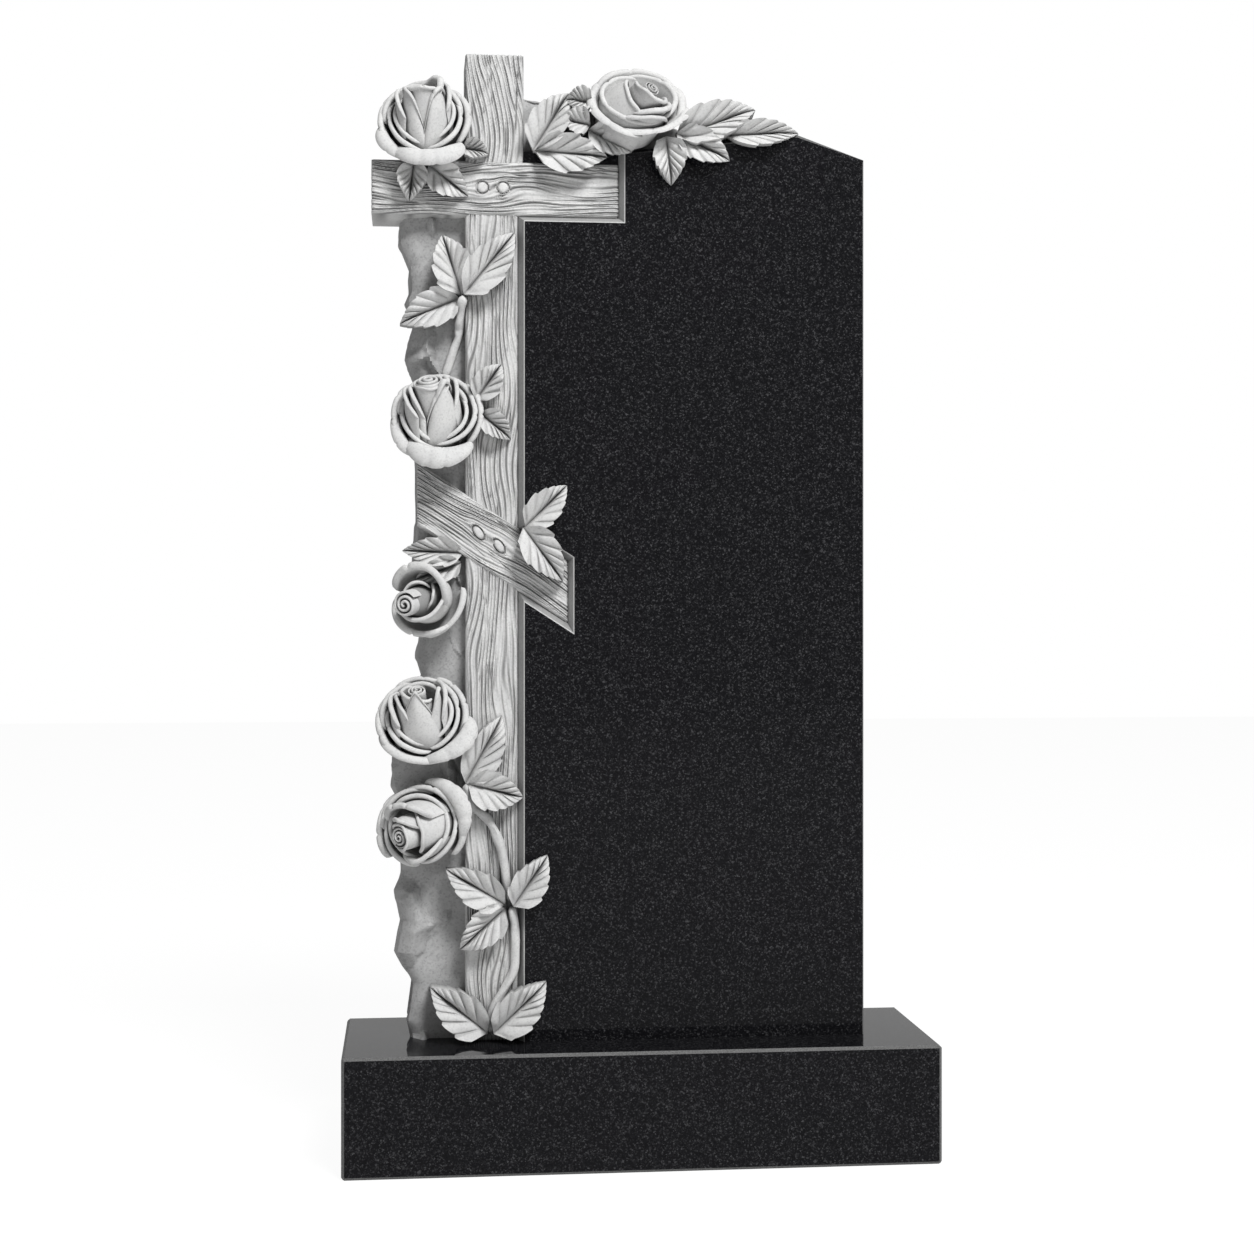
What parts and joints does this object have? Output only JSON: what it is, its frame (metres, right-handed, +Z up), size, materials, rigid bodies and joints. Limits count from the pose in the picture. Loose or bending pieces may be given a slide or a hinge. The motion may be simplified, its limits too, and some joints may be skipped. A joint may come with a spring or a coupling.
{
  "type": "carved granite headstone",
  "caption": "Upright polished granite headstone on a plinth, with a wood-grained cross, climbing roses and leaves carved down its rough left side and over its top.",
  "frame": {"origin": "middle of the plinth's underside", "axes": "+Z up, the polished face and the carving look towards -Y, the carved side is at -X"},
  "size_m": [0.6, 0.2, 1.123],
  "materials": {
    "plinth_granite": "polished black granite",
    "stele_granite": "polished black granite, with the carved cross, roses and leaves left matt and pale grey"
  },
  "bodies": {
    "root": {"plinth": "plinth_granite", "stele": "stele_granite"}
  },
  "joints": []
}
